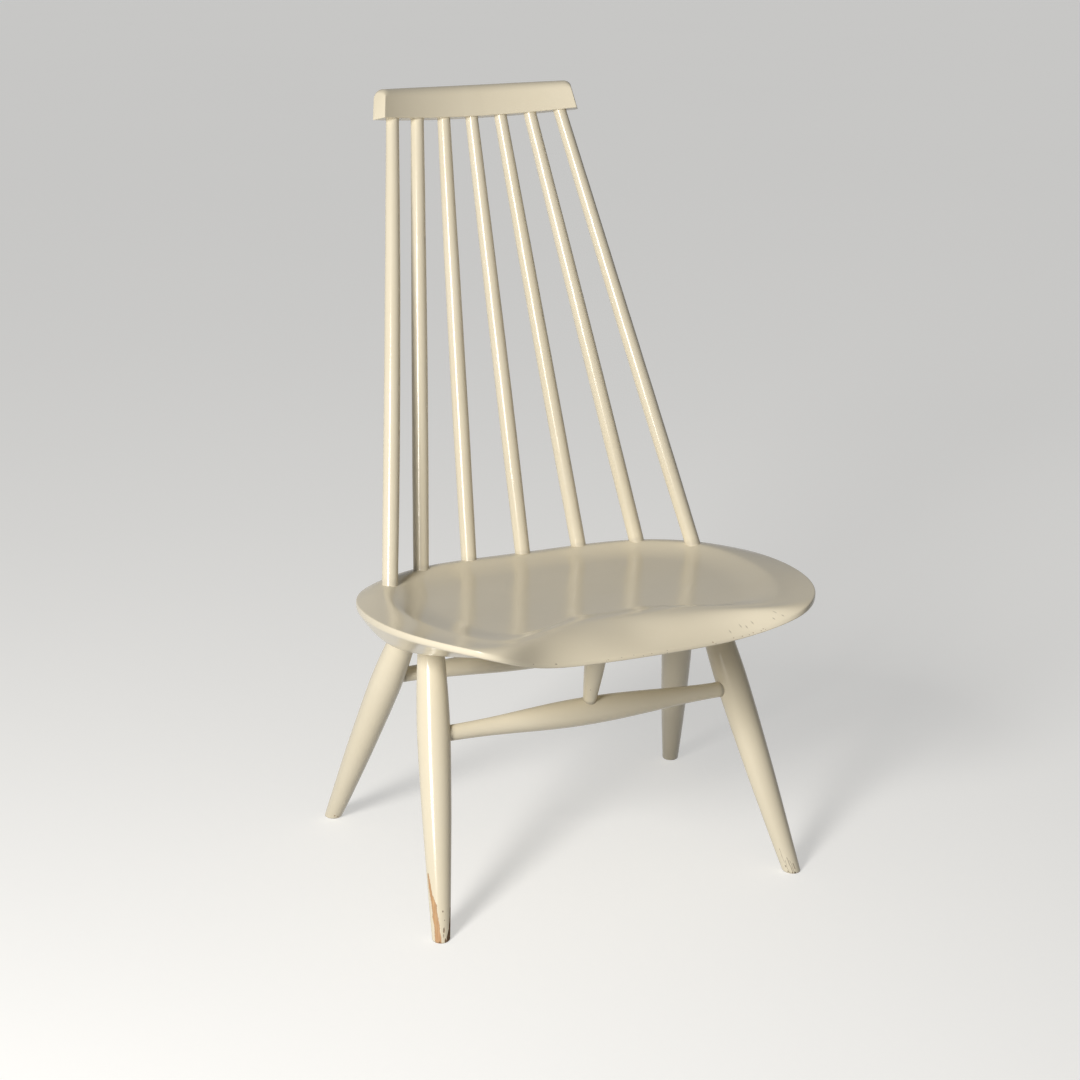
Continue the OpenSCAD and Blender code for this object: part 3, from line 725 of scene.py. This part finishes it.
section = crest_section()
half_length = CREST_R * CREST_HALF
close_insets = [0, 0.12, 0.35, 0.7, 1.2, 1.9, 2.8, 4, 5.4, 7, 9]
insets = np.concatenate([close_insets, np.arange(11, half_length - 12, 1.6)])
stations = np.concatenate([insets, (2 * half_length - insets)[::-1]])
rings, own = [], []
for inset in stations:
    from_end = min(inset, 2 * half_length - inset)
    side = -1 if inset < half_length else 1
    u, h = section[:, 0], section[:, 1]
    end_edge = max(0, 1 - from_end / CREST_ARRIS)
    small = CREST_END_ROUND * (1 - math.sqrt(max(0, 1 - end_edge ** 2)))
    u = u * (1 - small / (CREST_T / 2))
    h = CREST_H / 2 + (h - CREST_H / 2) * (1 - small / (CREST_H / 2))
    corner = CREST_END_CORNER
    drop = corner - math.sqrt(max(0, corner ** 2 - max(0, corner - from_end - 1) ** 2))
    middle = half_length - from_end
    drop += CREST_CROWN * (middle / half_length) ** 2
    h = h - drop * np.clip(h / CREST_H, 0, 1) ** 2
    flare_share = ease((middle - half_length * FLARE_FROM) / (half_length * (1 - FLARE_FROM)))
    flare = h * CREST_FLARE * flare_share
    a = side * (middle - flare) / CREST_R
    radial = CREST_R + u
    x, q = radial * np.sin(a), radial * np.cos(a) - CREST_R
    sideways = np.stack([x, 0 * x, 0 * x], -1)
    points = crest_origin + sideways + q[:, None] * crest_lean_back + h[:, None] * crest_lean_up
    rings.append(points * MM)
    own.append(np.stack([u, h, np.full_like(u, inset)], -1) * MM)
crest = loft("crest_rail", "crest_rail", rings, np.array(own) + CREST_PATTERN)
print("crest rail", [round(v / MM) for v in crest.dimensions])

# %% [markdown]
# ## Seat outline
# Seen from above the seat is a soft shape: a curve through a few control points, the same on both
# sides. A uniform cubic B-spline gives it, and the stations are spaced more closely along the front
# edge, where small chips need a fine mesh.

# %% Outline
seat_low, seat_high = (np.array(corner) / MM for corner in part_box("seat"))
SEAT_D, BACK_REACH, SEAT_H = 416.0, 146.0, 354.0
origin_y = seat_high[1] - BACK_REACH
FRONT_ZONE_Y, FRONT_PACE, PLAIN_PACE, PACE_BLEND = -120, 1.15, 3.4, 301
half_polygon = [(0, 0.963), (0.51, 0.937), (0.745, 1.063), (1.012, 0.719),
                (1.018, 0.224), (0.547, 0.010), (0, -0.006)]
control = np.array(half_polygon + [(-x, y) for x, y in half_polygon[-2:0:-1]])

def spline(t):
    i = np.floor(t).astype(int)
    u = (t - i)[:, None]

    def c(k):
        return control[(i + k) % len(control)]

    return ((1 - u) ** 3 * c(-1) + (3 * u ** 3 - 6 * u ** 2 + 4) * c(0)
            + (-3 * u ** 3 + 3 * u ** 2 + 3 * u + 1) * c(1) + u ** 3 * c(2)) / 6

DENSE = 6000
dense_t = np.linspace(0, len(control), DENSE + 1)
raw = spline(dense_t)

def to_plan(p):
    x = p[:, 0] / raw[:, 0].max() * (seat_high[0] - seat_low[0]) / 2
    y = BACK_REACH - (p[:, 1] - raw[:, 1].min()) / (raw[:, 1].max() - raw[:, 1].min()) * SEAT_D
    return np.stack([x, y], -1)

dense = to_plan(raw)
steps = np.linalg.norm(np.diff(dense, axis=0), axis=1)
pace = np.where(dense[:-1, 1] < FRONT_ZONE_Y, FRONT_PACE, PLAIN_PACE)
pace = np.convolve(np.tile(pace, 3), np.ones(PACE_BLEND) / PACE_BLEND, "same")[DENSE:2 * DENSE]
need = np.concatenate([[0], np.cumsum(steps / pace)])
sectors = int(need[-1])
t = np.interp(np.linspace(0, need[-1], sectors, endpoint=False), need, dense_t)
edge = to_plan(spline(t))
print("outline", round(steps.sum()), "mm round,", sectors, "sectors")

# %% [markdown]
# ## Seat heights
# Four heights give the seat its form: the plane of the edge, the arris of the hollow, the floor of
# the hollow and the underside. All of them slope down towards the back. The front dips in the
# middle, and there the arris sags and softens into a broad roll.

# %% Heights
TILT_SEAT, DIP, DIP_REACH, TURN_Y = math.tan(math.radians(5.8)), 41.0, 176.0, -42.0
LIP_SAG, LIP_REACH = 10.0, 210.0
ARRIS_RISE, ARRIS_SLOPE, ARRIS_BACK_SLOPE = 3.1, math.tan(math.radians(5.1)), math.tan(math.radians(1.4))
BACK_SAG, BACK_SAG_REACH = 8.5, 125
FLOOR_DROP, FLOOR_SLOPE, FLOOR_FRONT_SLOPE = 8.0, math.tan(math.radians(2)), math.tan(math.radians(5.5))
UNDER_DROP, UNDER_HALF_W, UNDER_HALF_D, UNDER_POWER = 47.5, 230, 120, 2.6
seat_front = BACK_REACH - SEAT_D

def forward_share(p):
    return ease((p[..., 1] - TURN_Y) / (seat_front - TURN_Y))

def front_share(p):
    return forward_share(p) * np.exp(-(np.abs(p[..., 0]) / DIP_REACH) ** 4.8)

def lip_share(p):
    return forward_share(p) * np.exp(-(p[..., 0] / LIP_REACH) ** 2)

def plane_z(p):
    return SEAT_H - TILT_SEAT * p[..., 1]

def arris_z(p):
    v = p[..., 1] - TURN_Y
    bend = (v + np.sqrt(v * v + 1600)) / 2
    sag = BACK_SAG * np.exp(-(p[..., 0] / BACK_SAG_REACH) ** 2) * ease(p[..., 1] / BACK_REACH)
    slope = ARRIS_SLOPE * v - (ARRIS_SLOPE - ARRIS_BACK_SLOPE) * (bend - 20)
    return SEAT_H - TILT_SEAT * TURN_Y + ARRIS_RISE - slope - sag - LIP_SAG * lip_share(p)

def floor_z(p):
    v = -p[..., 1] - 60
    bend = (v + np.sqrt(v * v + 3600)) / 2
    rise = (FLOOR_FRONT_SLOPE - FLOOR_SLOPE) * bend + 3 * (p[..., 0] / 150) ** 2
    return SEAT_H - FLOOR_DROP - FLOOR_SLOPE * p[..., 1] + rise

under_centre = np.array([0, seat_front + 108 + (SEAT_D - 176) / 2])

def under_edge(e):
    out = e - under_centre
    a = np.arctan2(out[:, 1], out[:, 0])
    wide, deep = np.abs(np.cos(a)) / UNDER_HALF_W, np.abs(np.sin(a)) / UNDER_HALF_D
    reach = (wide ** UNDER_POWER + deep ** UNDER_POWER) ** (-1 / UNDER_POWER)
    return under_centre + reach[:, None] * np.stack([np.cos(a), np.sin(a)], -1)

def under_z(p):
    return SEAT_H - UNDER_DROP - TILT_SEAT * p[..., 1]

# %% [markdown]
# ## Seat section
# Every station on the outline gets one section from the middle of the hollow over the rim, down the
# edge and under the seat. Sharp corners in the section are relaxed by a few rounds of averaging, more
# at the arris of the hollow than at the edges, which gives them their sanded radius.

# %% Section of each sector
RIM_W, LIP_RIM_W, WALL_W = 38, 52, 52
SIDE_BAND, FRONT_BAND = 8, 4
SQUARE_LEAST, SQUARE_BLEND = 0.88, 31
ROLL_POWER, ROLL_GAIN, ROLL_REACH = 1.6, 3.4, 185
RELAX_ROUNDS, RELAX_SHARE = 6, 0.7
hollow_centre = np.array([0, (seat_front + BACK_REACH) / 2])
ray = hollow_centre - edge
ray /= np.linalg.norm(ray, axis=1)[:, None]
tangent = np.roll(edge, -1, 0) - np.roll(edge, 1, 0)
inward = np.stack([-tangent[:, 1], tangent[:, 0]], -1)
inward /= np.linalg.norm(inward, axis=1)[:, None]
if (inward * ray).sum() < 0:
    inward = -inward
square = np.maximum((ray * inward).sum(1), SQUARE_LEAST)
square = np.convolve(np.tile(square, 3), np.ones(SQUARE_BLEND) / SQUARE_BLEND, "same")[sectors:2 * sectors]
front, lip = front_share(edge), lip_share(edge)
rim = (RIM_W * (1 - lip) + LIP_RIM_W * lip) / square
roll_power = ROLL_POWER + ROLL_GAIN * ease(np.abs(edge[:, 0]) / ROLL_REACH)
wall = WALL_W / square
arris = edge + ray * rim[:, None]
foot = edge + ray * (rim + wall)[:, None]
z_plane, z_arris, z_drop = plane_z(edge), arris_z(arris), DIP * front
z_edge = z_plane - z_drop
band = SIDE_BAND * (1 - front) + FRONT_BAND * front
under = under_edge(edge)

def at(p, z):
    return np.concatenate([p, z[:, None]], 1)

columns, softness = [], []
floor_shares = np.linspace(0.06, 0.98, 15)
for u in floor_shares:
    p = hollow_centre + (foot - hollow_centre) * u
    columns.append(at(p, floor_z(p)))
    softness.append(0.0 if u < 0.8 else 0.5)
wall_shares = np.linspace(1, 0.02, 22)
for u in wall_shares:
    p = arris + ray * (wall * u)[:, None]
    steep, soft = 1 - (1 - u) ** 2.2, float(ease(u))
    drop = steep * (1 - lip) + soft * lip
    columns.append(at(p, z_arris * (1 - drop) + floor_z(p) * drop))
    softness.append(0.6)
rim_shares = [1, 0.95, 0.9, 0.84, 0.77, 0.69, 0.6, 0.5, 0.4, 0.31,
              0.24, 0.18, 0.13, 0.09, 0.06, 0.04, 0.022, 0.01, 0]
for u in rim_shares:
    p = edge + ray * (rim * u)[:, None]
    z_rim = z_plane + (z_arris - z_plane) * (1 - (1 - u) ** 2)
    columns.append(at(p, z_rim - z_drop * (1 - u) ** roll_power))
    softness.append(0.6 if u > 0.6 else 0.5)
edge_row = len(columns) - 1
for u in [0.12, 0.25, 0.4, 0.55, 0.7, 0.85, 1]:
    columns.append(at(edge, z_edge - band * u))
    softness.append(0.5)
bevel_shares = [0.012, 0.025, 0.04, 0.06, 0.09, 0.13, 0.18, 0.25, 0.33, 0.42, 0.52, 0.63, 0.75, 0.87, 1]
for v in bevel_shares:
    p = edge + (under - edge) * v
    z0 = z_edge - band
    columns.append(at(p, z0 + (under_z(under) - z0) * (1 - (1 - v) ** 1.4)))
    softness.append(0.5)
for v in [0.9, 0.75, 0.55, 0.3]:
    p = under_centre + (under - under_centre) * v
    columns.append(at(p, under_z(p)))
    softness.append(0.0)
section_points = np.array(columns)
weights = np.array(softness)[:, None, None]
for _ in range(RELAX_ROUNDS):
    middle = (section_points[:-2] + section_points[2:]) / 2
    section_points[1:-1] += weights[1:-1] * (middle - section_points[1:-1]) * RELAX_SHARE
print("seat mesh", section_points.shape[0], "rings of", sectors)

# %% [markdown]
# ## Chips on the seat
# Knees and heels knock the front edge. Each chip is a shallow dent with bare wood and primer in it,
# set by its place along the front and on the section. Dirt has settled in the chips, and a faint dark
# line runs along the lower edge of the front.

# %% Chips
CHIP_DEPTH, CHIP_GRIME, FRONT_EDGE_DARK = 0.35, 0.55, 0.10
FRONT_ROWS_Y = -60
d_ring = np.gradient(section_points, axis=0)
d_turn = np.roll(section_points, -1, 1) - np.roll(section_points, 1, 1)
normal = np.cross(d_turn, d_ring)
normal /= np.linalg.norm(normal, axis=2)[..., None] + 1e-9
if normal[5, :, 2].mean() < 0:
    normal = -normal
chance = np.random.default_rng(4)
peel_map = np.full(section_points.shape[:2], SOUND_PAINT)
chip_list = [(x, chance.uniform(-1.5, 3.0), chance.uniform(0.3, 0.65))
             for x in chance.uniform(-165, 150, 20)]
chip_list += [(x, chance.uniform(-14, -4), chance.uniform(0.25, 0.4))
              for x in chance.uniform(100, 170, 7)]
lengths = np.linalg.norm(np.diff(section_points, axis=0), axis=2)
run = np.concatenate([np.zeros((1, sectors)), np.cumsum(lengths, 0)])
run -= run[edge_row]
front_rows = np.where(edge[:, 1] < FRONT_ROWS_Y)[0]
for x, down, size in chip_list:
    column = front_rows[np.argmin(np.abs(edge[front_rows, 0] - x))]
    row = np.argmin(np.abs(run[:, column] - down))
    away = np.linalg.norm(section_points - section_points[row, column], axis=2)
    ragged = size * (1 + 0.35 * wander(section_points[..., 0], int(x * 7) % 97 + 1, 0.8, 2)) - away
    peel_map = np.maximum(peel_map, ragged)
dent = CHIP_DEPTH * ease((peel_map + 0.2) / 0.7)
section_points -= normal * dent[..., None]
darkening_map = CHIP_GRIME * ease((peel_map + 0.1) / 0.4)
# A faint dark line along the lower edge of the front band.
darkening_map += FRONT_EDGE_DARK * np.exp(-((run - band[None, :]) / 1.2) ** 2) * front[None, :]
to_frame = np.array([0, origin_y, 0])
seat_rings = (section_points + to_frame) * MM
seat_own = np.stack([seat_rings[..., 1], seat_rings[..., 2], seat_rings[..., 0]], -1)
centre_top = at(hollow_centre[None], floor_z(hollow_centre[None]))[0]
centre_low = at(under_centre[None], under_z(under_centre[None]))[0]
caps = [(c + to_frame) * MM for c in (centre_top, centre_low)]
seat = loft("seat", "seat", seat_rings, seat_own, peel_map, darkening_map, caps)
print("seat", [round(v / MM) for v in seat.dimensions], "with", len(chip_list), "chips")

# %% [markdown]
# ## Triangle count
# The last lines count the triangles of every shown mesh and print the total and the largest.

# %% Triangle count
import json
bpy.context.view_layer.update()
meshes = [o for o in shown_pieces() if o.type == "MESH"]
triangles = [sum(len(p.vertices) - 2 for p in o.data.polygons) for o in meshes]
print("triangles", sum(triangles), "most", max(triangles))
